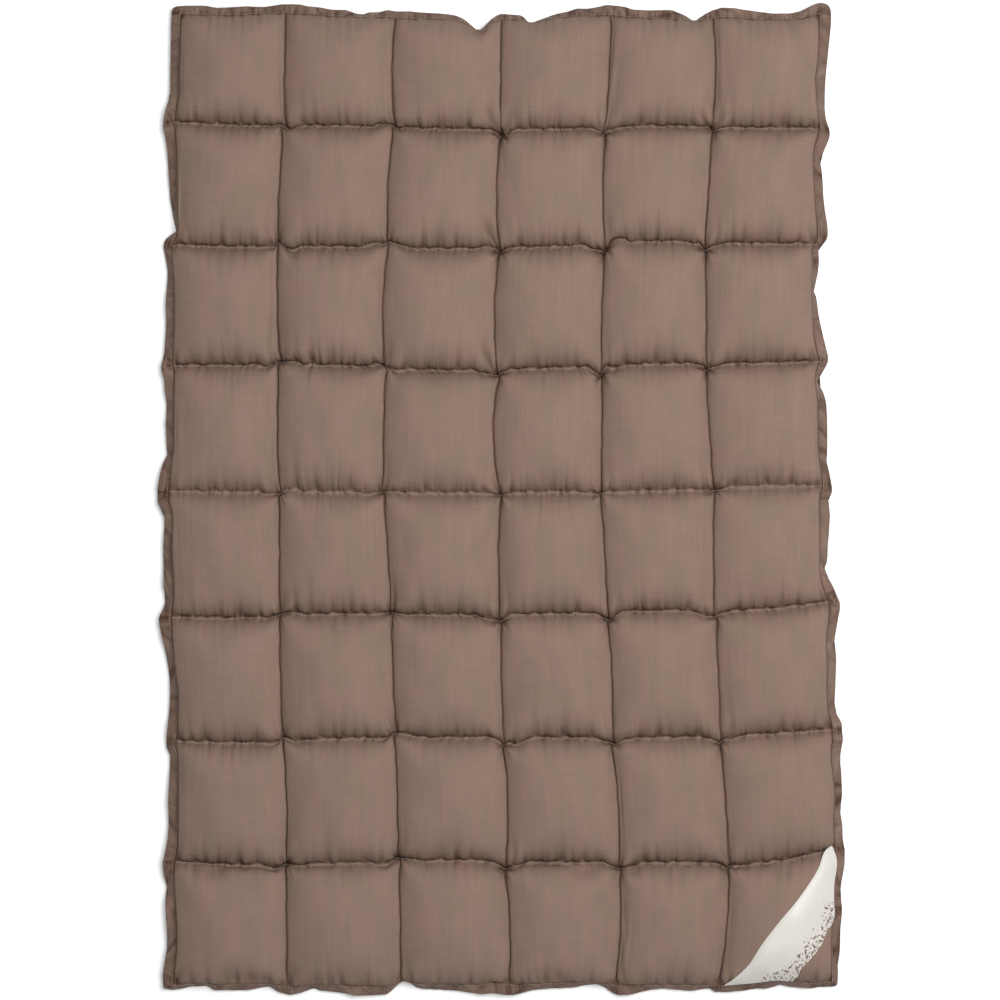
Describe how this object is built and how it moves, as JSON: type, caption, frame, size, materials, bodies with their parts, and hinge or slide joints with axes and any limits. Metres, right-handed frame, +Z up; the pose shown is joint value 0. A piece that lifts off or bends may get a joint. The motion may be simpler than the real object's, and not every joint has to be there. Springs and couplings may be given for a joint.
{
  "type": "quilted baby duvet",
  "caption": "Quilted baby duvet lying flat, filled square pockets sewn in rows inside a narrow hem, with a pale band across one corner.",
  "frame": {"origin": "on the surface that the duvet rests on, under the middle of its outline", "axes": "+X across the duvet, +Y along its length towards the top edge, +Z up from the surface through the quilted face"},
  "size_m": [0.6706, 0.959, 0.0285],
  "materials": {
    "duvet_cloth": "plain cotton weave, brown, matt with a faint sheen",
    "band_satin": "off-white satin ribbon"
  },
  "bodies": {
    "root": {"duvet": "duvet_cloth", "corner_band": "band_satin"}
  },
  "joints": []
}
